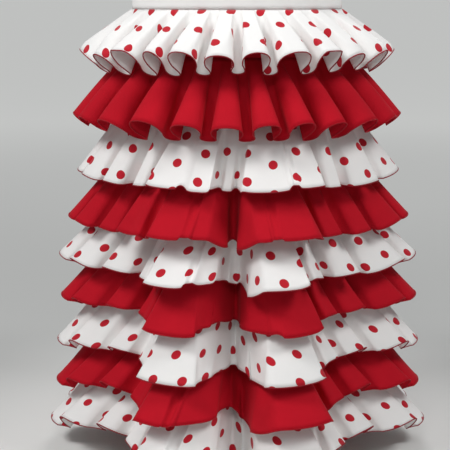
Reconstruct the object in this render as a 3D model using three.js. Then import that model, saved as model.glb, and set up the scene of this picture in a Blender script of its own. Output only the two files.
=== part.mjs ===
// A flamenco skirt as it hangs on its wearer: a smooth hip yoke, a flared foundation, and nine
// circular-cut ruffles sewn round the foundation, each one lapping over the top of the next.
// Millimetres, +Z up. X is the wearer's left, seen from the front as the right, and Y the back.
// The origin is the centre of the waist, at half the height of the waistband.
import * as THREE from 'three';

// ---- Driving sizes ----
const CLOTH = 1.2; // a single layer of crepe, with its turned edges
const SEAM_GAP = 0.3; // between two pieces that meet edge to edge
const LAP_GAP = 0.4; // between the foundation and a ruffle that is sewn onto it
const WAISTBAND = { halfHeight: 20, thickness: 3 };
const WAIST = { halfWidth: 128, halfDepth: 96 };
const HIP = { z: -200, halfWidth: 170, halfDepth: 128 };
const FOUNDATION = { drop: 640, flareWidth: 0.137, flareDepth: 0.172 }; // flare: mm out for each mm down
const WAVES = 22; // flutes round each ruffle
const COLUMNS_PER_WAVE = 6;
const LONGEST_SWING = 0.82; // how far out a ruffle can swing, as a share of the cloth's length

// How many columns each ring has, and by what share of a column the first one is turned.
const BODICE_RING = { count: 36, shift: 0 };
const FOUNDATION_RING = { count: 66, shift: 0.5 };

// The deep folds of the foundation's front, by their azimuths at the hip and at the hem: 0 is the
// front, 90 the wearer's left side. top and foot: the drops below the hip seam where a fold starts to
// open and where it has its full depth. spread: degrees from its line to where it is 0.6 as deep.
// The back's folds mirror the front's.
const FRONT_FOLDS = [
  { atHip: -60, atHem: -60, depth: 68, spread: 13, top: 120, foot: 560 },
  { atHip: -44, atHem: -43, depth: 40, spread: 8, top: 90, foot: 480 },
  { atHip: -6, atHem: 1, depth: 66, spread: 7.5, top: 200, foot: 560 },
  { atHip: 36, atHem: 38, depth: 36, spread: 8, top: 90, foot: 480 },
  { atHip: 56, atHem: 57, depth: 72, spread: 13, top: 120, foot: 560 },
];
const FOLDS = FRONT_FOLDS.flatMap((fold) => [
  fold,
  { ...fold, atHip: 180 - fold.atHip, atHem: 180 - fold.atHem },
]);
const FOLD_LIFT = 0.24; // the share of a fold's depth by which it lifts the cloth beside it

// The ruffles from the top down. seam: drop of the sewn edge below the hip seam. cut: height of the
// cut strip. out and stand: how far the hem stands off the foundation on a full cone and in a full
// groove. middle: share of that reach half way down. curl: how far the walls of a full groove lean
// over it, where 1 is upright. gap: degrees from a groove's line to the foot of its walls.
// grooves: azimuths at the hem, from the right side round the front to the left side. depths: how
// full each groove is. cones: the reach of the cone before each groove and after the last one, as a
// share of a full cone.
const RUFFLES = [
  { seam: 0, cut: 106, out: 76, stand: 27, middle: 0.55, curl: 1.45, gap: 3.5, colour: 'dotted',
    grooves: [-72, -58, -42, -31, -16, 0, 15, 33, 46, 60, 78],
    depths: [0.9, 1, 1, 1, 0.9, 0.8, 0.9, 0.9, 0.8, 0.7, 0.9],
    cones: [1, 0.95, 1.05, 1, 1, 0.95, 1, 1, 1.05, 0.95, 1, 1] },
  { seam: 73, cut: 129, out: 75, stand: 24, middle: 0.46, curl: 1.3, gap: 3.5, colour: 'red',
    grooves: [-79, -64, -47, -29, -13, 4, 19, 33, 47, 64, 80],
    depths: [0.5, 0.6, 1, 1, 1, 1, 1, 1, 0.9, 0.7, 0.5],
    cones: [1, 1, 1, 1.05, 0.95, 0.9, 0.95, 1, 1, 1, 1, 1] },
  { seam: 168, cut: 118, out: 64, stand: 30, middle: 0.46, curl: 1.2, gap: 3, colour: 'dotted',
    grooves: [-80, -64, -50, -39, -22, -9, -1, 22, 35, 48, 68],
    depths: [0.3, 0.5, 0.9, 0.9, 0.3, 1, 0.8, 0.4, 1, 0.8, 0.5],
    cones: [0.9, 0.95, 1, 0.9, 1.05, 1.1, 0.8, 1.1, 1.1, 0.9, 1, 0.95] },
  { seam: 248, cut: 119, out: 70, stand: 35, middle: 0.46, curl: 0.9, gap: 3, colour: 'red',
    grooves: [-80, -67, -54, -36, -19, -3, 14, 35, 49, 63, 80],
    depths: [0.3, 0.3, 1, 0.2, 0.2, 1, 0.15, 1, 0.35, 0.45, 0.4],
    cones: [0.95, 1, 0.95, 1.2, 1.1, 1.05, 1.1, 1.1, 0.9, 1, 1, 1] },
  { seam: 318, cut: 120, out: 76, stand: 35, middle: 0.44, curl: 1.15, gap: 3, colour: 'dotted',
    grooves: [-80, -65, -48, -36, -17, -6, 3, 27, 40, 58, 79],
    depths: [0.4, 0.9, 0.9, 0.9, 0.6, 1, 0.8, 0.9, 0.8, 0.4, 0.4],
    cones: [1, 1, 1, 0.85, 1.05, 0.95, 0.9, 1.15, 0.8, 1, 1, 1] },
  { seam: 384, cut: 116, out: 70, stand: 33, middle: 0.44, curl: 0.9, gap: 3, colour: 'red',
    grooves: [-80, -66, -51, -37, -13, -1, 14, 34, 47, 63, 80],
    depths: [0.4, 0.4, 0.8, 0.9, 1, 1, 0.25, 1, 0.5, 0.5, 0.4],
    cones: [0.95, 1, 0.95, 0.8, 1.1, 0.55, 1.05, 1.15, 0.95, 1, 1, 1] },
  { seam: 456, cut: 118, out: 68, stand: 33, middle: 0.44, curl: 1, gap: 3, colour: 'dotted',
    grooves: [-80, -64, -49, -38, -12, -2, 7, 33, 47, 63, 80],
    depths: [0.4, 0.3, 0.8, 0.9, 1, 1, 0.8, 0.9, 0.5, 0.5, 0.4],
    cones: [0.95, 1, 0.95, 0.75, 1.15, 0.55, 0.9, 1.2, 0.9, 1, 1, 0.95] },
  { seam: 530, cut: 116, out: 68, stand: 34, middle: 0.44, curl: 0.9, gap: 3, colour: 'red',
    grooves: [-80, -66, -52, -38, -22, -6, 3, 35, 48, 63, 80],
    depths: [0.4, 0.4, 0.8, 0.9, 0.3, 1, 1, 0.9, 0.4, 0.5, 0.4],
    cones: [0.85, 0.95, 0.95, 0.75, 1.1, 0.95, 0.65, 1.15, 0.9, 1, 0.95, 0.85] },
  { seam: 600, cut: 116, out: 70, stand: 32, middle: 0.44, curl: 1.1, gap: 3, colour: 'dotted',
    grooves: [-80, -65, -51, -38, -22, -6, 3, 31, 46, 62, 80],
    depths: [0.5, 0.5, 0.5, 0.9, 0.5, 1, 1, 0.9, 0.5, 0.5, 0.6],
    cones: [0.85, 1, 0.95, 0.8, 1.1, 0.95, 0.65, 1.15, 0.9, 1, 1, 0.85] },
];

// Half way down a ruffle its flutes have made this share of their sideways shift.
const MIDDLE_SHIFT = 0.6;
const SIDEWAYS_PULL = 0.4; // the share of a sideways swing that lifts the cloth

const MATERIALS = {
  white: new THREE.MeshStandardMaterial({ color: 0xf0eeec, roughness: 0.85, metalness: 0 }),
  dotted: new THREE.MeshStandardMaterial({ color: 0xeae0df, roughness: 0.85, metalness: 0 }),
  red: new THREE.MeshStandardMaterial({ color: 0xb51a2b, roughness: 0.85, metalness: 0 }),
};

// ---- Directions and sections ----
const radians = THREE.MathUtils.degToRad;

// Columns are spaced evenly along the hip's edge, which is wider than it is deep, so their azimuths
// are a little closer together at the front and back than at the sides.
const COLUMN_CROWDING = 6.59;

function columnAzimuth(turn) {
  return 360 * turn - COLUMN_CROWDING * Math.sin(2 * radians(360 * turn));
}

function ellipseRadius(halfWidth, halfDepth, azimuth) {
  const angle = radians(azimuth);
  return 1 / Math.hypot(Math.sin(angle) / halfWidth, Math.cos(angle) / halfDepth);
}

function polarPoint(azimuth, radius, z) {
  const angle = radians(azimuth);
  return new THREE.Vector3(radius * Math.sin(angle), -radius * Math.cos(angle), z);
}

function angleBetween(first, second) {
  return ((first - second + 540) % 360 + 360) % 360 - 180;
}

// How far the deep folds take the foundation in.
function foldDepth(azimuth, drop) {
  let inward = 0;
  for (const { atHip, atHem, depth, spread, top, foot } of FOLDS) {
    const line = THREE.MathUtils.lerp(atHip, atHem, drop / FOUNDATION.drop);
    const away = angleBetween(azimuth, line) / spread;
    inward += depth * THREE.MathUtils.smoothstep(drop, top, foot) * Math.exp(-away * away / 2);
  }
  return inward;
}

// Radius of the foundation's middle surface at a drop below the hip seam.
function foundationRadius(azimuth, drop) {
  const halfWidth = HIP.halfWidth + FOUNDATION.flareWidth * drop;
  const halfDepth = HIP.halfDepth + FOUNDATION.flareDepth * drop;
  return ellipseRadius(halfWidth, halfDepth, azimuth) - foldDepth(azimuth, drop);
}

// The same radius for what hangs clear of the foundation: its wall is flat between two columns, so
// in a fold it stands further out there than the fold's own curve.
function clearRadius(azimuth, drop) {
  const quarterColumn = 90 / FOUNDATION_RING.count;
  const near = [azimuth - quarterColumn, azimuth, azimuth + quarterColumn];
  return Math.max(...near.map((place) => foundationRadius(place, drop)));
}

// A ring of points, each at the radius and height that are given for its azimuth.
function ringOfPoints({ count, shift }, radiusAt, heightAt) {
  return Array.from({ length: count }, (_, column) => {
    const azimuth = columnAzimuth((column + shift) / count);
    return polarPoint(azimuth, radiusAt(azimuth), heightAt(azimuth));
  });
}

function foundationRing(drop) {
  const z = HIP.z - Math.max(drop, SEAM_GAP);
  const radiusAt = (azimuth) => foundationRadius(azimuth, drop);
  return ringOfPoints(FOUNDATION_RING, radiusAt, (azimuth) => z + FOLD_LIFT * foldDepth(azimuth, drop));
}

function bodiceRing(halfWidth, halfDepth, z) {
  return ringOfPoints(BODICE_RING, (azimuth) => ellipseRadius(halfWidth, halfDepth, azimuth), () => z);
}

// ---- Walls of cloth ----
// The mean of two edge normals, lengthened so that both faces beside a corner keep their distance.
const LONGEST_MITRE = 1.6;

function mitre(normalBefore, normalAfter) {
  const sum = normalBefore.clone().add(normalAfter);
  const scale = 1 / (1 + normalBefore.dot(normalAfter));
  return sum.multiplyScalar(scale).clampLength(0, LONGEST_MITRE);
}

// Outward directions at each point of one row. down is the cloth's direction down the wall there.
function rowNormals(row, downs, closed) {
  const last = row.length - 1;
  return row.map((point, column) => {
    const down = downs[column];
    const before = closed ? row[(column + last) % row.length] : row[Math.max(column - 1, 0)];
    const after = closed ? row[(column + 1) % row.length] : row[Math.min(column + 1, last)];
    const edgeBefore = point.clone().sub(before);
    const edgeAfter = after.clone().sub(point);
    if (edgeBefore.lengthSq() === 0) edgeBefore.copy(edgeAfter);
    if (edgeAfter.lengthSq() === 0) edgeAfter.copy(edgeBefore);
    const normalBefore = down.clone().cross(edgeBefore).normalize();
    const normalAfter = down.clone().cross(edgeAfter).normalize();
    return mitre(normalBefore, normalAfter);
  });
}

// One closed thin solid round a grid of middle-surface points: rows from the top down, columns in
// the order of their azimuth. The top row's faces are upright, so that it lies flat at a seam.
function clothWall(name, rows, material, { closed = true, thickness = CLOTH } = {}) {
  const upright = new THREE.Vector3(0, 0, -1);
  const outer = [];
  const inner = [];
  rows.forEach((row, index) => {
    const downs = row.map((point, column) => {
      if (index === 0) return upright;
      const below = rows[Math.min(index + 1, rows.length - 1)][column];
      return below.clone().sub(rows[index - 1][column]).normalize();
    });
    const normals = rowNormals(row, downs, closed);
    outer.push(row.map((point, column) => point.clone().addScaledVector(normals[column], thickness / 2)));
    inner.push(row.map((point, column) => point.clone().addScaledVector(normals[column], -thickness / 2)));
  });

  const columns = rows[0].length;
  const points = [...outer.flat(), ...inner.flat()];
  const outerIndex = (row, column) => row * columns + column % columns;
  const innerIndex = (row, column) => rows.length * columns + outerIndex(row, column);
  const triangles = [];
  const quad = (a, b, c, d) => triangles.push(a, b, c, a, c, d);
  const spans = closed ? columns : columns - 1;
  const bottom = rows.length - 1;
  for (let column = 0; column < spans; column++) {
    const next = column + 1;
    for (let row = 0; row < bottom; row++) {
      quad(outerIndex(row, column), outerIndex(row + 1, column), outerIndex(row + 1, next), outerIndex(row, next));
      quad(innerIndex(row, column), innerIndex(row, next), innerIndex(row + 1, next), innerIndex(row + 1, column));
    }
    quad(outerIndex(0, column), outerIndex(0, next), innerIndex(0, next), innerIndex(0, column));
    quad(outerIndex(bottom, column), innerIndex(bottom, column), innerIndex(bottom, next), outerIndex(bottom, next));
  }
  if (!closed) {
    for (let row = 0; row < bottom; row++) {
      quad(innerIndex(row, 0), innerIndex(row + 1, 0), outerIndex(row + 1, 0), outerIndex(row, 0));
      const end = columns - 1;
      quad(outerIndex(row, end), outerIndex(row + 1, end), innerIndex(row + 1, end), innerIndex(row, end));
    }
  }
  const geometry = new THREE.BufferGeometry();
  geometry.setAttribute('position', new THREE.Float32BufferAttribute(points.flatMap((p) => p.toArray()), 3));
  geometry.setIndex(triangles);
  geometry.computeVertexNormals();
  const mesh = new THREE.Mesh(geometry, material);
  mesh.name = name;
  return mesh;
}

// Half of a stack of rings, cut at the two side seams. half is 'front' or 'back'.
function panel(name, rings, { count, shift }, half, material) {
  const first = -count / 4 - shift + (half === 'front' ? 0 : count / 2);
  const sideways = half === 'front' ? -SEAM_GAP / 2 : SEAM_GAP / 2;
  const rows = rings.map((ring) => {
    const row = [];
    for (let step = 0; step <= count / 2; step++) row.push(ring[(first + step + count) % count].clone());
    row[0].y += sideways;
    row[row.length - 1].y += sideways;
    return row;
  });
  return clothWall(name, rows, material, { closed: false });
}

// ---- Pieces ----
function waistband() {
  const { halfHeight, thickness } = WAISTBAND;
  const rows = [halfHeight, -halfHeight].map((z) => bodiceRing(WAIST.halfWidth, WAIST.halfDepth, z));
  return clothWall('waistband', rows, MATERIALS.white, { thickness });
}

// The yoke widens over the hips in a quarter wave, so that its lower edge hangs straight down.
const YOKE_BANDS = 3;

function yokeRings() {
  const top = -WAISTBAND.halfHeight - SEAM_GAP;
  return Array.from({ length: YOKE_BANDS + 1 }, (_, band) => {
    const share = band / YOKE_BANDS;
    const widening = Math.sin(radians(90 * share));
    const halfWidth = THREE.MathUtils.lerp(WAIST.halfWidth, HIP.halfWidth, widening);
    const halfDepth = THREE.MathUtils.lerp(WAIST.halfDepth, HIP.halfDepth, widening);
    return bodiceRing(halfWidth, halfDepth, THREE.MathUtils.lerp(top, HIP.z, share));
  });
}

function foundationRings() {
  return [...RUFFLES.map((ruffle) => ruffle.seam), FOUNDATION.drop].map(foundationRing);
}

// The sewn edge of a ruffle: the foundation's ring at that drop, moved out past both cloths, with a
// point half way along each of its sides. It starts half a flute before the right side.
function seamRow(ruffle) {
  const ring = foundationRing(ruffle.seam);
  const upright = ring.map(() => new THREE.Vector3(0, 0, -1));
  const normals = rowNormals(ring, upright, true);
  const corners = ring.map((point, column) => point.clone().addScaledVector(normals[column], CLOTH + LAP_GAP));
  const { count, shift } = FOUNDATION_RING;
  const rightSide = count - count / 4 - shift;
  const row = corners.flatMap((_, step) => {
    const corner = corners[(rightSide + step) % count];
    const next = corners[(rightSide + step + 1) % count];
    return [corner, corner.clone().lerp(next, 0.5)];
  });
  return [...row.slice(-COLUMNS_PER_WAVE / 2), ...row.slice(0, -COLUMNS_PER_WAVE / 2)];
}

// Grooves are counted round from the right side. The back's grooves and cones mirror the front's.
function grooveAzimuth(ruffle, groove) {
  const turns = Math.floor(groove / WAVES);
  const count = groove - turns * WAVES;
  const { grooves } = ruffle;
  const azimuth = count < grooves.length ? grooves[count] : 180 - grooves[WAVES - 1 - count];
  return azimuth + 360 * turns;
}

// Where a column of a ruffle stands at the hem: its azimuth and how far out from the foundation.
// Columns are counted round from the groove before the right side. A cone's crest is half way
// between its two grooves.
function hemPlace(ruffle, column) {
  const wave = Math.floor(column / COLUMNS_PER_WAVE);
  const step = column % COLUMNS_PER_WAVE;
  const half = COLUMNS_PER_WAVE / 2;
  const isBefore = step < half;
  const crest = (grooveAzimuth(ruffle, wave - 1) + grooveAzimuth(ruffle, wave)) / 2;
  const groove = grooveAzimuth(ruffle, isBefore ? wave - 1 : wave);
  const counted = isBefore ? (wave + WAVES - 1) % WAVES : wave;
  const number = Math.min(counted, WAVES - 1 - counted);
  const cone = ruffle.out * ruffle.cones[Math.min(wave, WAVES - wave)];
  const lowerCone = ruffle.out * Math.min(ruffle.cones[number], ruffle.cones[number + 1]);
  const depth = ruffle.depths[number];

  const along = Math.abs(step - half) / half;
  const foot = Math.max(0.5, 1 - ruffle.gap / Math.abs(groove - crest));
  const place = along < 0.5 ? 2 * foot * along : foot + (1 - foot) * (2 * along - 1);
  const lean = (1 - foot) * ruffle.curl * depth * Math.sin(2 * Math.PI * along) / Math.PI;
  const fall = (1 - Math.cos(Math.PI * along)) / 2;
  return {
    azimuth: crest + (groove - crest) * (place + lean),
    out: THREE.MathUtils.lerp(cone, THREE.MathUtils.lerp(lowerCone, ruffle.stand, depth), fall),
  };
}

// A point of a ruffle's cloth below its sewn edge, at a share of its height, kept near the length of
// cloth that was cut: the further it swings out, the less it drops. The hem's fullness gives most of
// what the cloth needs to swing sideways.
function hangingPoint(ruffle, sewn, sewnAzimuth, hem, share, outShare, shiftShare) {
  const azimuth = THREE.MathUtils.lerp(sewnAzimuth, hem.azimuth, shiftShare);
  const sewnRadius = Math.hypot(sewn.x, sewn.y);
  const length = ruffle.cut * share;
  let drop = length;
  let radius = sewnRadius;
  for (let pass = 0; pass < 4; pass++) {
    const inside = clearRadius(azimuth, ruffle.seam + drop) + CLOTH + LAP_GAP;
    radius = Math.min(inside + hem.out * outShare, sewnRadius + LONGEST_SWING * length);
    radius = Math.max(radius, inside);
    const sideways = SIDEWAYS_PULL * radius * radians(azimuth - sewnAzimuth);
    const used = (radius - sewnRadius) ** 2 + sideways ** 2;
    drop = Math.sqrt(length ** 2 - Math.min(used, 0.75 * length ** 2));
  }
  return polarPoint(azimuth, radius, sewn.z - drop);
}

function ruffleWall(ruffle, index) {
  const sewnRow = seamRow(ruffle);
  const columns = sewnRow.length;
  const start = -(columns / 4 + COLUMNS_PER_WAVE / 2);
  const middle = [];
  const hemRow = [];
  sewnRow.forEach((sewn, column) => {
    const sewnAzimuth = columnAzimuth((column + start) / columns);
    const hem = hemPlace(ruffle, column);
    middle.push(hangingPoint(ruffle, sewn, sewnAzimuth, hem, 0.5, ruffle.middle, MIDDLE_SHIFT));
    hemRow.push(hangingPoint(ruffle, sewn, sewnAzimuth, hem, 1, 1, 1));
  });
  return clothWall(`ruffle_${index + 1}`, [sewnRow, middle, hemRow], MATERIALS[ruffle.colour]);
}

// ---- The skirt ----
const skirt = new THREE.Group();
skirt.add(waistband());
for (const half of ['front', 'back']) {
  skirt.add(panel(`yoke_${half}`, yokeRings(), BODICE_RING, half, MATERIALS.white));
  skirt.add(panel(`foundation_${half}`, foundationRings(), FOUNDATION_RING, half, MATERIALS.red));
}
RUFFLES.forEach((ruffle, index) => skirt.add(ruffleWall(ruffle, index)));

export default skirt;
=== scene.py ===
"""Looks for the flamenco skirt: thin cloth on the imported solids, with its folds, print and hems.

Shapes are worked out as rows of points, in millimetres in the solids' frame, and turned into metres
when a mesh is made.
Azimuths are in degrees: 0 is the front, 90 the wearer's left side.
"""

import math

import bpy
import numpy as np
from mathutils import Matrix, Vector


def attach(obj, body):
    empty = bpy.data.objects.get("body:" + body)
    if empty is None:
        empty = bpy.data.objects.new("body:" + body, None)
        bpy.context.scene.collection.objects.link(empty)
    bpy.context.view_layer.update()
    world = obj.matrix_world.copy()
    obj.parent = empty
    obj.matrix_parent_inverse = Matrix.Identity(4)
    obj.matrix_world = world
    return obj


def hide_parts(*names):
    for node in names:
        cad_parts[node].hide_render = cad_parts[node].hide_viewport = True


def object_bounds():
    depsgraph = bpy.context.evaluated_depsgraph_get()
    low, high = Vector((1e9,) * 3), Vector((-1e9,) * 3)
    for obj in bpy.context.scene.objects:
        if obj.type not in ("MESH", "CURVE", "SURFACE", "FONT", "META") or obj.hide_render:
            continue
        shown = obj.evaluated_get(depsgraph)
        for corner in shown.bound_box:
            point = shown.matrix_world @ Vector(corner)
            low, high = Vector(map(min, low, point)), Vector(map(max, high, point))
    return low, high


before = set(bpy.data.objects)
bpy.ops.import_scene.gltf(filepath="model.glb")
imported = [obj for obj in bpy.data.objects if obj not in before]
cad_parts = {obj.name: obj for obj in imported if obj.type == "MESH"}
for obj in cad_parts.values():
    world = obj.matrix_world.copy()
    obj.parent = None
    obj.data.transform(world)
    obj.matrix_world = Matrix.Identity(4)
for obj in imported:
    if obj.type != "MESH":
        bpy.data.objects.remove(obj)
cad_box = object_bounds()

# ---- Sizes ----
CLOTH = 1.2  # a wall of the solids
SHELL = 0.9  # the cloth as it is drawn
HEM_CORD = 0.95  # radius of the sewn cord along a hem
HEM_CORD_DROP = 0.3  # from the cloth's last row to the middle of the cord
SEAM_GAP = 0.3  # between two pieces that meet edge to edge
LAP_GAP = 0.4  # between the foundation and a ruffle that is sewn onto it
WAISTBAND_HALF = 20  # half its height
WAISTBAND_WALL = 1.4  # half its thickness
WAISTBAND_TRIM = 0.1  # how much each of its edges is drawn inside the solid's
WAIST = (128, 96)  # half the width and half the depth
HIP = (170, 128)
HIP_Z = -200
FOUNDATION_DROP = 640
FLARE = (0.137, 0.172)  # how far the sides, and the front and back, go out for each mm down
COLUMN_CROWDING = 6.59  # degrees; spaces the columns evenly along the hips' edge

# How the ruffles hang. Swings are shares of the cloth's length.
WAVES = 22  # flutes round each ruffle
SIDE_SWING = 0.82  # how far out a ruffle can swing at the sides
SIDEWAYS_PULL = 0.4  # the share of a sideways swing that lifts the cloth
LEAST_DROP = 0.5  # cloth hangs at least this share of its length below its seam
MIDDLE_SHIFT = 0.6  # the share of their sideways shift that flutes have made half way down
GATHER_SHIFT = 0.6  # how closely gathers at the seam follow the grooves below; 0 is evenly spaced
FOLD_CLEARANCE = 0.05  # the share of a deep fold that the ruffles bridge
PUFF = 0.16  # how much more of its reach a crest has half way down than a groove has
FULL_CURL_ROOM = 5.5  # degrees from a crest to its wall that let it curl fully

# Deep folds of the foundation's front: azimuth at the hips and at the hem, depth, spread, the drops
# where a fold starts to open and is fully open, and the share of its depth by which it lifts the
# cloth beside it. The back's folds mirror them.
FRONT_FOLDS = [
    (-60, -60, 68, 13, 120, 560, 0.24),
    (-44, -43, 40, 8, 90, 480, 0.24),
    (-6, 1, 102, 7, 160, 480, 0.08),
    (36, 38, 36, 8, 90, 480, 0.24),
    (56, 57, 72, 13, 120, 560, 0.24),
]
FOLDS = FRONT_FOLDS + [(180 - upper, 180 - lower, *sizes) for upper, lower, *sizes in FRONT_FOLDS]

# The ruffles from the top down.
# seam: drop of the sewn edge below the hips. cut: height of the cut ring. dots: whether it has a print.
# out and stand: how far the hem stands off the foundation on a full cone and in a full groove.
# middle: share of that reach half way down. curl: how far the walls of a full groove lean over it.
# swing: how far out the ruffle can swing at the front and back. rise: how far grooves are lifted at the
# hem, as a share of how far they lie inside a full cone; below 0 they hang lower. flat: above 1, crests
# are broader and grooves sharper. gap: degrees from a groove's line to its walls.
# grooves: azimuths at the hem, from the right side round the front to the left; the back mirrors them.
# depths: how full each groove is. cones: the reach of the cone before each groove and after the last
# one, as a share of a full cone.
RUFFLES = [
    {"seam": 0, "cut": 106, "dots": True, "out": 76, "stand": 31, "middle": 0.55, "curl": 4.2,
     "swing": 0.82, "rise": -0.1, "flat": 1, "gap": 1.9,
     "grooves": [-72, -58, -42, -31, -16, 0, 15, 33, 46, 60, 78],
     "depths": [0.9, 1, 1, 1, 0.9, 0.8, 0.9, 0.9, 0.8, 0.7, 0.9],
     "cones": [1, 0.95, 1.05, 1, 1, 0.95, 1, 1, 1.05, 0.95, 1, 1]},
    {"seam": 73, "cut": 129, "dots": False, "out": 75, "stand": 28, "middle": 0.46, "curl": 3.2,
     "swing": 0.82, "rise": -0.05, "flat": 1, "gap": 2.2,
     "grooves": [-79, -64, -47, -29, -13, 4, 19, 33, 47, 64, 80],
     "depths": [0.5, 0.6, 1, 1, 1, 1, 1, 1, 0.9, 0.7, 0.5],
     "cones": [1, 1, 1, 1.05, 0.95, 0.9, 0.95, 1, 1, 1, 1, 1]},
    {"seam": 168, "cut": 118, "dots": True, "out": 64, "stand": 30, "middle": 0.46, "curl": 1.4,
     "swing": 0.55, "rise": 0.45, "flat": 1.7, "gap": 2.1,
     "grooves": [-80, -64, -50, -39, -22, -9, -1, 22, 37, 48, 68],
     "depths": [0.7, 0.9, 0.9, 1, 0.4, 1, 1, 0.45, 1, 0.9, 0.8],
     "cones": [0.9, 0.95, 1, 0.9, 1.1, 1.15, 0.7, 1.15, 1.15, 0.9, 1, 0.95]},
    {"seam": 248, "cut": 119, "dots": False, "out": 70, "stand": 35, "middle": 0.46, "curl": 2.4,
     "swing": 0.64, "rise": 0.4, "flat": 1.6, "gap": 2.1,
     "grooves": [-80, -67, -54, -36, -19, -2.5, 14, 36, 49, 63, 80],
     "depths": [0.7, 0.9, 1, 0.4, 0.35, 1, 0.35, 1, 0.7, 0.9, 0.8],
     "cones": [0.95, 1, 0.95, 1.2, 1.1, 1.05, 1.1, 1.1, 0.9, 1, 1, 1]},
    {"seam": 318, "cut": 120, "dots": True, "out": 76, "stand": 35, "middle": 0.44, "curl": 1.45,
     "swing": 0.62, "rise": 0.35, "flat": 1.7, "gap": 2.1,
     "grooves": [-80, -65, -48, -36, -17, -7, 2, 27, 40, 58, 79],
     "depths": [0.8, 1, 0.9, 1, 0.5, 1, 0.9, 1, 0.9, 0.8, 0.7],
     "cones": [1, 1, 1, 0.85, 1.1, 1, 0.6, 1.15, 0.8, 1, 1, 1]},
    {"seam": 384, "cut": 119, "dots": False, "out": 70, "stand": 33, "middle": 0.44, "curl": 1.4,
     "swing": 0.47, "rise": 0.3, "flat": 1.7, "gap": 2.1,
     "grooves": [-80, -66, -51, -37, -13, -1, 14, 34, 47, 63, 80],
     "depths": [0.8, 0.8, 0.9, 1, 1, 1, 0.45, 1, 0.8, 0.9, 0.8],
     "cones": [0.95, 1, 0.95, 0.8, 1.1, 0.55, 1.05, 1.15, 0.95, 1, 1, 1]},
    {"seam": 456, "cut": 122, "dots": True, "out": 68, "stand": 39, "middle": 0.44, "curl": 1.4,
     "swing": 0.48, "rise": 0.15, "flat": 1.8, "gap": 2.1,
     "grooves": [-80, -64, -49, -38, -12, -2, 7, 33, 47, 63, 80],
     "depths": [0.8, 0.7, 0.9, 1, 1, 1, 0.9, 1, 0.8, 0.9, 0.8],
     "cones": [0.95, 1, 0.95, 0.75, 1.15, 0.55, 0.9, 1.2, 0.9, 1, 1, 0.95]},
    {"seam": 530, "cut": 116, "dots": False, "out": 68, "stand": 34, "middle": 0.44, "curl": 1.4,
     "swing": 0.6, "rise": 0.12, "flat": 1.7, "gap": 2.1,
     "grooves": [-80, -66, -52, -38, -22, -6, 3, 35, 48, 63, 80],
     "depths": [0.8, 0.8, 0.9, 1, 0.5, 1, 1, 1, 0.8, 0.9, 0.8],
     "cones": [0.85, 0.95, 0.95, 0.75, 1.1, 0.95, 0.65, 1.15, 0.9, 1, 0.95, 0.85]},
    {"seam": 600, "cut": 116, "dots": True, "out": 70, "stand": 32, "middle": 0.44, "curl": 1.4,
     "swing": 0.6, "rise": 0.15, "flat": 1.5, "gap": 2.1,
     "grooves": [-80, -65, -51, -38, -22, -6, 3, 31, 46, 62, 80],
     "depths": [0.8, 0.9, 0.8, 0.9, 0.6, 1, 1, 0.9, 0.8, 0.9, 0.8],
     "cones": [0.85, 1, 0.95, 0.8, 1.1, 0.95, 0.65, 1.15, 0.9, 1, 1, 0.85]},
]

# How finely the cloth is drawn. A grid is the rows and columns of the band or of one panel.
COLUMNS_PER_WAVE = 32
ROWS = 17
WAISTBAND_GRID = (24, 720)
FOUNDATION_GRID = (49, 241)
YOKE_GRID = (25, 181)
CORD_SIDES = 6


# ---- Shapes ----
def polar(azimuth, radius, z):
    angle, radius, z = np.broadcast_arrays(np.radians(azimuth), radius, z)
    return np.stack([radius * np.sin(angle), -radius * np.cos(angle), z], axis=-1)


def half_round(half, columns):
    """Azimuths from side seam to side seam, round the front or the back."""
    first = -90 if half == "front" else 90
    return np.linspace(first, first + 180, columns)


def column_azimuth(turn):
    return 360 * turn - COLUMN_CROWDING * np.sin(2 * np.radians(360 * turn))


def ellipse_radius(half_width, half_depth, azimuth):
    angle = np.radians(azimuth)
    return 1 / np.hypot(np.sin(angle) / half_width, np.cos(angle) / half_depth)


def unfolded_radius(azimuth, drop):
    return ellipse_radius(HIP[0] + FLARE[0] * drop, HIP[1] + FLARE[1] * drop, azimuth)


def deep_folds(azimuth, drop):
    """How far the deep folds take the foundation in at these places, and how far they lift it."""
    inward, lift = 0, 0
    for upper_line, lower_line, depth, spread, top, foot, lift_share in FOLDS:
        share = np.clip((drop - top) / (foot - top), 0, 1)
        line = upper_line + (lower_line - upper_line) * drop / FOUNDATION_DROP
        away = ((azimuth - line + 540) % 360 - 180) / spread
        profile = share * share * (3 - 2 * share) * np.exp(-away * away / 2)
        inward, lift = inward + depth * profile, lift + lift_share * depth * profile
    return inward, lift


def foundation_radius(azimuth, drop):
    return unfolded_radius(azimuth, drop) - deep_folds(azimuth, drop)[0]


def clear_radius(azimuth, drop):
    """Just outside the foundation, a little further out where its deep folds have steep sides."""
    inward = deep_folds(azimuth, drop)[0]
    return unfolded_radius(azimuth, drop) - (1 - FOLD_CLEARANCE) * inward + CLOTH + LAP_GAP


def curve(middle, share):
    """Rises from 0 to 1 as share does, and is at middle half way."""
    return share ** (np.log(middle) / math.log(0.5))


def groove_azimuth(ruffle, groove):
    """Grooves are counted round from the right side. The back mirrors the front."""
    turns, count = divmod(groove, WAVES)
    grooves = ruffle["grooves"]
    azimuth = grooves[count] if count < len(grooves) else 180 - grooves[WAVES - 1 - count]
    return azimuth + 360 * turns


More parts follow.
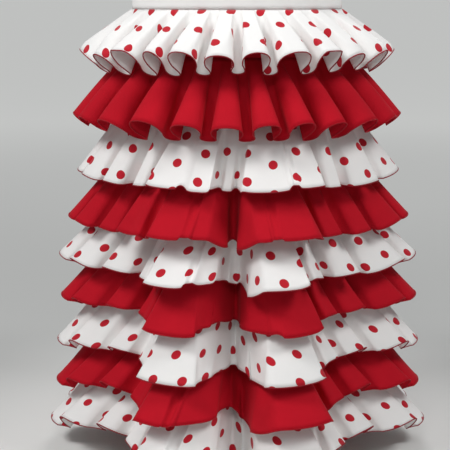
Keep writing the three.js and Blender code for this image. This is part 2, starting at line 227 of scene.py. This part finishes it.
def hem_places(ruffle):
    """Azimuth and reach of each column at the hem, counted from the groove behind the right side.
    A wave goes from a groove over a crest to the next one; along is 0 on the crest and 1 in a groove."""
    azimuths, reaches = [], []
    half = COLUMNS_PER_WAVE / 2
    for column in range(WAVES * COLUMNS_PER_WAVE):
        wave, step = divmod(column, COLUMNS_PER_WAVE)
        before, after = groove_azimuth(ruffle, wave - 1), groove_azimuth(ruffle, wave)
        crest = (before + after) / 2
        groove = before if step < half else after
        number = (wave - 1) % WAVES if step < half else wave
        number = min(number, WAVES - 1 - number)
        cone = min(wave, WAVES - wave)
        along = abs(step - half) / half
        dip = ruffle["depths"][number]
        wall = max(0.5, 1 - ruffle["gap"] / abs(groove - crest))
        place = 2 * wall * along if along < 0.5 else wall + (1 - wall) * (2 * along - 1)
        roominess = max(0, min(1, (abs(groove - crest) - ruffle["gap"]) / FULL_CURL_ROOM))
        lean = ruffle["curl"] * roominess * dip * math.sin(2 * math.pi * along) / (2 * math.pi)
        crest_reach = ruffle["out"] * ruffle["cones"][cone]
        lower_crest = ruffle["out"] * min(ruffle["cones"][number], ruffle["cones"][number + 1])
        groove_reach = lower_crest + (ruffle["stand"] - lower_crest) * dip
        fall = (1 - math.cos(math.pi * along ** ruffle["flat"])) / 2
        azimuths.append(crest + (groove - crest) * (place + lean * 2 * (1 - wall)))
        reaches.append(crest_reach + (groove_reach - crest_reach) * fall)
    return np.array(azimuths), np.array(reaches)


def ruffle_points(ruffle):
    """The ruffle's middle surface as rows from the sewn edge down, closed round each row."""
    hem_azimuth, hem_reach = hem_places(ruffle)
    columns = len(hem_azimuth)
    even_azimuth = column_azimuth(np.arange(columns) / columns - 0.25 - 0.5 / WAVES)
    wave = np.arange(columns) / COLUMNS_PER_WAVE
    grooves = [groove_azimuth(ruffle, number) for number in range(-1, WAVES)]
    gathered = np.interp(wave, np.arange(WAVES + 1), grooves)
    sewn_azimuth = even_azimuth + GATHER_SHIFT * (gathered - even_azimuth)
    lift = deep_folds(sewn_azimuth, ruffle["seam"])[1]
    sewn_radius = clear_radius(sewn_azimuth, ruffle["seam"])
    middle_swing, swing_change = (ruffle["swing"] + SIDE_SWING) / 2, (SIDE_SWING - ruffle["swing"]) / 2
    swing = middle_swing - swing_change * np.cos(2 * np.radians(sewn_azimuth))
    fullness = (hem_reach - hem_reach.min()) / (hem_reach.max() - hem_reach.min())
    middle = ruffle["middle"] + PUFF * (fullness - 0.5)
    rows = []
    for share in np.linspace(0, 1, ROWS):
        azimuth = sewn_azimuth + (hem_azimuth - sewn_azimuth) * curve(MIDDLE_SHIFT, share)
        length = ruffle["cut"] * share
        longest = sewn_radius + length * swing
        drop, radius = length, sewn_radius
        for _ in range(4):
            inside = clear_radius(azimuth, ruffle["seam"] + drop)
            radius = np.minimum(inside + hem_reach * curve(middle, share), longest)
            radius = np.maximum(radius, inside)
            sideways = SIDEWAYS_PULL * radius * np.radians(azimuth - sewn_azimuth)
            used = (radius - sewn_radius) ** 2 + sideways**2
            drop = np.sqrt(length**2 - np.minimum(used, (1 - LEAST_DROP**2) * length**2))
        rise = ruffle["rise"] * share * share * (ruffle["out"] - hem_reach)
        rows.append(polar(azimuth, radius, HIP_Z - ruffle["seam"] + lift + rise - drop))
    return np.array(rows)


# ---- Meshes ----
def grid_object(name, rows, material, closed=True, flat=None):
    """A mesh through rows of points. flat gives each point's place on the flat cloth, in metres,
    with one more column than a closed row has."""
    count, columns, _ = rows.shape
    spans = columns if closed else columns - 1
    row, column = np.meshgrid(np.arange(count - 1), np.arange(spans), indexing="ij")
    following = (column + 1) % columns
    faces = np.stack([row * columns + column, (row + 1) * columns + column,
                      (row + 1) * columns + following, row * columns + following], axis=-1)
    mesh = bpy.data.meshes.new(name)
    mesh.from_pydata((rows.reshape(-1, 3) / 1000).tolist(), [], faces.reshape(-1, 4).tolist())
    if flat is not None:
        corners = np.stack([flat[row, column], flat[row + 1, column],
                            flat[row + 1, column + 1], flat[row, column + 1]], axis=2)
        layer = mesh.uv_layers.new(name="flat_cloth")
        layer.data.foreach_set("uv", corners.reshape(-1).astype(np.float32))
    mesh.polygons.foreach_set("use_smooth", [True] * len(mesh.polygons))
    mesh.materials.append(material)
    obj = bpy.data.objects.new(name, mesh)
    bpy.context.collection.objects.link(obj)
    return obj


def thicken(obj):
    shell = obj.modifiers.new("cloth_thickness", "SOLIDIFY")
    shell.thickness = SHELL / 1000
    shell.offset = 0
    return obj


def hem_directions(rows):
    """Unit vectors down the cloth and out of its face, all round its last row."""
    hem = rows[-1]
    along = np.roll(hem, -1, axis=0) - np.roll(hem, 1, axis=0)
    down = hem - rows[-2]
    outward = np.cross(down, along)
    return [v / np.linalg.norm(v, axis=-1, keepdims=True) for v in (down, outward)]


def cord_object(name, line, sides, downs, material):
    """A closed ring of cord along line, with its length and its turn as coordinates."""
    angles = np.linspace(0, 2 * np.pi, CORD_SIDES, endpoint=False)
    rows = np.array([line + HEM_CORD * (math.cos(a) * sides + math.sin(a) * downs) for a in angles])
    rows = np.concatenate([rows, rows[:1]])
    lengths = np.linalg.norm(np.roll(line, -1, axis=0) - line, axis=-1)
    u = np.concatenate([[0], np.cumsum(lengths)]) / 1000
    v = np.linspace(0, 1, CORD_SIDES + 1)
    flat = np.stack(np.broadcast_arrays(u[None, :], v[:, None]), axis=-1)
    return grid_object(name, rows, material, flat=flat)


# ---- Materials ----
def new_material(name):
    material = bpy.data.materials.new(name)
    material.use_nodes = True
    return material, material.node_tree.nodes, material.node_tree.links


def cloth_material(name, base, sheen=0.2, gloss=0.25, shade=0.06, mask=None, print_colour=None):
    """Crepe: a fine irregular grain, soft broad creases and slightly uneven colour. mask builds the
    print and returns the socket that is 1 on it."""
    material, nodes, links = new_material(name)
    shader = nodes["Principled BSDF"]
    shader.inputs["Roughness"].default_value = 0.82
    shader.inputs["Specular IOR Level"].default_value = gloss
    shader.inputs["Sheen Weight"].default_value = sheen
    shader.inputs["Sheen Roughness"].default_value = 0.45
    place = nodes.new("ShaderNodeTexCoord").outputs["Object"]

    def noise(scale, detail):
        node = nodes.new("ShaderNodeTexNoise")
        node.inputs["Scale"].default_value = scale
        node.inputs["Detail"].default_value = detail
        links.new(place, node.inputs["Vector"])
        return node.outputs["Fac"]

    uneven = nodes.new("ShaderNodeMix")
    uneven.data_type = "RGBA"
    links.new(noise(38, 3), uneven.inputs["Factor"])
    uneven.inputs["A"].default_value = (*[c * (1 - shade) for c in base], 1)
    uneven.inputs["B"].default_value = (*[min(c * (1 + shade), 1) for c in base], 1)
    colour = uneven.outputs["Result"]
    if mask:
        printed = nodes.new("ShaderNodeMix")
        printed.data_type = "RGBA"
        links.new(mask(nodes, links), printed.inputs["Factor"])
        links.new(colour, printed.inputs["A"])
        printed.inputs["B"].default_value = (*print_colour, 1)
        colour = printed.outputs["Result"]
    links.new(colour, shader.inputs["Base Color"])

    grain = nodes.new("ShaderNodeBump")
    grain.inputs["Strength"].default_value = 0.35
    grain.inputs["Distance"].default_value = 0.0004
    links.new(noise(850, 2), grain.inputs["Height"])
    crease = nodes.new("ShaderNodeBump")
    crease.inputs["Strength"].default_value = 0.5
    crease.inputs["Distance"].default_value = 0.003
    links.new(noise(22, 1), crease.inputs["Height"])
    links.new(grain.outputs["Normal"], crease.inputs["Normal"])
    links.new(crease.outputs["Normal"], shader.inputs["Normal"])
    return material


# The print, in metres. A cell holds a dot in its middle and a quarter of one at each corner.
DOT_CELL = (0.047, 0.0814)
DOT_RADIUS = 0.0074
DOT_EDGE = 0.0002


def dot_mask(nodes, links):
    """1 inside the dots of a staggered print, in the flat cloth's own coordinates."""
    def vector(operation, *values):
        node = nodes.new("ShaderNodeVectorMath")
        node.operation = operation
        for socket, value in zip(node.inputs, values):
            if isinstance(value, tuple):
                socket.default_value = value
            else:
                links.new(value, socket)
        return node.outputs["Value" if operation == "LENGTH" else "Vector"]

    def number(operation, *values):
        node = nodes.new("ShaderNodeMath")
        node.operation = operation
        for socket, value in zip(node.inputs, values):
            if isinstance(value, (int, float)):
                socket.default_value = value
            else:
                links.new(value, socket)
        return node.outputs[0]

    uv = nodes.new("ShaderNodeUVMap")
    uv.uv_map = "flat_cloth"
    cells = vector("DIVIDE", uv.outputs["UV"], (*DOT_CELL, 1.0))
    distances = []
    for offset in (0.0, 0.5):
        inside = vector("FRACTION", vector("ADD", cells, (offset, offset, 0.0)))
        centred = vector("SUBTRACT", inside, (0.5, 0.5, 0.0))
        distances.append(vector("LENGTH", vector("MULTIPLY", centred, (*DOT_CELL, 1.0))))
    nearest = number("MINIMUM", *distances)
    edge = nodes.new("ShaderNodeMapRange")
    edge.interpolation_type = "SMOOTHSTEP"
    links.new(nearest, edge.inputs["Value"])
    edge.inputs["From Min"].default_value = DOT_RADIUS - DOT_EDGE
    edge.inputs["From Max"].default_value = DOT_RADIUS + DOT_EDGE
    edge.inputs["To Min"].default_value = 1
    edge.inputs["To Max"].default_value = 0
    return edge.outputs["Result"]


def thread_material(name, base):
    """Close overlocked thread: slanting ridges wound round the edge."""
    material, nodes, links = new_material(name)
    shader = nodes["Principled BSDF"]
    shader.inputs["Base Color"].default_value = (*base, 1)
    shader.inputs["Roughness"].default_value = 0.6
    shader.inputs["Specular IOR Level"].default_value = 0.2
    uv = nodes.new("ShaderNodeUVMap")
    uv.uv_map = "flat_cloth"
    stretch = nodes.new("ShaderNodeMapping")
    stretch.inputs["Scale"].default_value = (1, 0.0009, 1)
    links.new(uv.outputs["UV"], stretch.inputs["Vector"])
    wave = nodes.new("ShaderNodeTexWave")
    wave.bands_direction = "DIAGONAL"
    wave.inputs["Scale"].default_value = 260
    links.new(stretch.outputs["Vector"], wave.inputs["Vector"])
    bump = nodes.new("ShaderNodeBump")
    bump.inputs["Strength"].default_value = 0.7
    bump.inputs["Distance"].default_value = 0.0003
    links.new(wave.outputs["Fac"], bump.inputs["Height"])
    links.new(bump.outputs["Normal"], shader.inputs["Normal"])
    return material


WHITE = (0.86, 0.85, 0.835)
RED = (0.48, 0.0045, 0.0155)
DOT_RED = (0.5, 0.007, 0.02)
white_crepe = cloth_material("white_crepe", WHITE, shade=0.02)
dotted_crepe = cloth_material("dotted_crepe", WHITE, shade=0.02, mask=dot_mask, print_colour=DOT_RED)
red_crepe = cloth_material("red_crepe", RED, sheen=0.02, gloss=0.12, shade=0.08)
dark_thread = thread_material("dark_red_thread", (0.30, 0.012, 0.022))
red_thread = thread_material("red_thread", (0.4, 0.005, 0.014))


# ---- Ruffles ----
def flat_places(rows, cut):
    """Where each point lay on the cloth when it was cut as rings, with one column more than rows has,
    and the lengths of the sewn edge and the hem."""
    lengths = np.linalg.norm(np.roll(rows, -1, axis=1) - rows, axis=-1)
    along = np.concatenate([np.zeros((len(rows), 1)), np.cumsum(lengths, axis=1)], axis=1)
    seam, hem = along[0, -1], along[-1, -1]
    inner = cut * seam / (hem - seam)
    turn = along / along[:, -1:] * seam / inner
    height = inner + cut * np.linspace(0, 1, len(rows))[:, None]
    flat = np.stack([height * np.cos(turn), height * np.sin(turn)], axis=-1)
    return flat / 1000, seam, hem


def make_ruffle(index, ruffle):
    name = f"cloth_ruffle_{index + 1}"
    rows = ruffle_points(ruffle)
    flat, seam, hem = flat_places(rows, ruffle["cut"])
    material = dotted_crepe if ruffle["dots"] else red_crepe
    cloth = thicken(grid_object(name, rows, material, flat=flat))
    down, outward = hem_directions(rows)
    thread = dark_thread if ruffle["dots"] else red_thread
    edge = cord_object(f"{name}_hem", rows[-1] + HEM_CORD_DROP * down, outward, down, thread)
    for piece in (cloth, edge):
        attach(piece, "root")
    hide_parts(f"ruffle_{index + 1}")


def foundation_panel(half):
    count, columns = FOUNDATION_GRID
    azimuth = half_round(half, columns)
    drops = np.linspace(SEAM_GAP, FOUNDATION_DROP, count)
    rows = np.array([polar(azimuth, foundation_radius(azimuth, d),
                           HIP_Z - d + deep_folds(azimuth, d)[1]) for d in drops])
    name = f"cloth_foundation_{half}"
    cloth = thicken(grid_object(name, rows, red_crepe, closed=False))
    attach(cloth, "root")
    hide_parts(f"foundation_{half}")


def yoke_panel(half):
    count, columns = YOKE_GRID
    azimuth = half_round(half, columns)
    top, rows = -WAISTBAND_HALF - SEAM_GAP, []
    for share in np.linspace(0, 1, count):
        widening = math.sin(math.pi / 2 * share)
        half_width = WAIST[0] + (HIP[0] - WAIST[0]) * widening
        half_depth = WAIST[1] + (HIP[1] - WAIST[1]) * widening
        radius = ellipse_radius(half_width, half_depth, azimuth)
        rows.append(polar(azimuth, radius, top + (HIP_Z - top) * share))
    rows = np.array(rows)
    name = f"cloth_yoke_{half}"
    cloth = thicken(grid_object(name, rows, white_crepe, closed=False))
    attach(cloth, "root")
    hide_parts(f"yoke_{half}")


def waistband():
    """A casing with a section like a rounded slab, rippled unevenly where its elastic gathers it."""
    count, columns = WAISTBAND_GRID
    azimuth = np.arange(columns) * 360 / columns
    angles = np.linspace(0, 2 * np.pi, count, endpoint=False)
    ripple = 0.35 * np.sin(np.radians(azimuth * 90)) + 0.25 * np.sin(np.radians(azimuth * 61 + 40))
    rows = []
    for a in angles:
        across = np.sign(math.cos(a)) * abs(math.cos(a)) ** 0.5 * WAISTBAND_WALL
        up = np.sign(math.sin(a)) * abs(math.sin(a)) ** 0.2 * (WAISTBAND_HALF - WAISTBAND_TRIM)
        pull = ripple * (1 - (up / WAISTBAND_HALF) ** 4)
        rows.append(polar(azimuth, ellipse_radius(*WAIST, azimuth) + across + pull, up))
    rows = np.array(rows + rows[:1])[::-1]
    band = grid_object("cloth_waistband", rows, white_crepe)
    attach(band, "root")
    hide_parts("waistband")


waistband()
for side in ("front", "back"):
    yoke_panel(side)
    foundation_panel(side)
for number, row in enumerate(RUFFLES):
    make_ruffle(number, row)


# ---- Stage, light and camera ----
FLOOR_DROP = 0.018  # below the lowest hem, in metres


def floor():
    """Painted light and shade: light grey round the skirt, painted darker behind it, and glowing far back
    like a lit wall, though it is no lamp.
    """
    material, nodes, links = new_material("floor_with_painted_light")
    shader = nodes["Principled BSDF"]
    shader.inputs["Roughness"].default_value = 0.95
    shader.inputs["Specular IOR Level"].default_value = 0.1
    distance = nodes.new("ShaderNodeVectorMath")
    distance.operation = "LENGTH"
    links.new(nodes.new("ShaderNodeTexCoord").outputs["Object"], distance.inputs[0])

    def blend(start, end, inner, outer):
        share = nodes.new("ShaderNodeMapRange")
        share.interpolation_type = "SMOOTHSTEP"
        links.new(distance.outputs["Value"], share.inputs["Value"])
        share.inputs["From Min"].default_value = start
        share.inputs["From Max"].default_value = end
        mix = nodes.new("ShaderNodeMix")
        mix.data_type = "RGBA"
        links.new(share.outputs["Result"], mix.inputs["Factor"])
        mix.inputs["A"].default_value = (*inner, 1)
        mix.inputs["B"].default_value = (*outer, 1)
        return mix.outputs["Result"]

    # painted light and shade: the base colour is lighter round the skirt and darker further back
    links.new(blend(0.25, 0.85, (0.82, 0.82, 0.8), (0.48, 0.485, 0.475)), shader.inputs["Base Color"])
    # painted light: from half a metre out the floor glows more and more, standing in for a lit backdrop
    # wall
    links.new(blend(0.5, 6, (0, 0, 0), (0.97, 0.98, 0.96)), shader.inputs["Emission Color"])
    shader.inputs["Emission Strength"].default_value = 0.43
    mesh = bpy.data.meshes.new("floor")
    mesh.from_pydata([(-60, -60, 0), (60, -60, 0), (60, 160, 0), (-60, 160, 0)], [], [(0, 1, 2, 3)])
    mesh.materials.append(material)
    obj = bpy.data.objects.new("floor", mesh)
    obj.location.z = cad_box[0][2] - FLOOR_DROP
    bpy.context.collection.objects.link(obj)


def area_light(name, location, target, size, power):
    light = bpy.data.lights.new(name, "AREA")
    light.shape = "DISK"
    light.size = size
    light.energy = power
    obj = bpy.data.objects.new(name, light)
    obj.location = location
    aim = np.array(target) - np.array(location)
    obj.rotation_euler = (math.atan2(math.hypot(aim[0], aim[1]), -aim[2]), 0, math.atan2(-aim[0], aim[1]))
    bpy.context.collection.objects.link(obj)


floor()
area_light("left", (-2.0, -1.2, 2.0), (0, 0, -0.5), 1.2, 58)
area_light("right", (2.0, -1.2, 2.0), (0, 0, -0.5), 1.2, 43)
area_light("front", (-0.3, -2.6, 1.4), (0, 0, -0.5), 1.2, 16)
area_light("back", (0.3, 2.6, 1.8), (0, 0, -0.4), 2.0, 30)
world = bpy.data.worlds.new("studio")
bpy.context.scene.world = world
world.use_nodes = True
world.node_tree.nodes["Background"].inputs["Color"].default_value = (0.95, 0.97, 1, 1)
world.node_tree.nodes["Background"].inputs["Strength"].default_value = 0.22
bpy.context.scene.view_settings.view_transform = "Standard"

camera = bpy.data.objects.new("camera", bpy.data.cameras.new("camera"))
camera.data.lens = 106.64
camera.data.sensor_width = 36
camera.location = (-0.0195, -2.2, -0.1727)
camera.rotation_euler = (math.radians(80.085), 0, 0)
bpy.context.collection.objects.link(camera)
bpy.context.scene.camera = camera
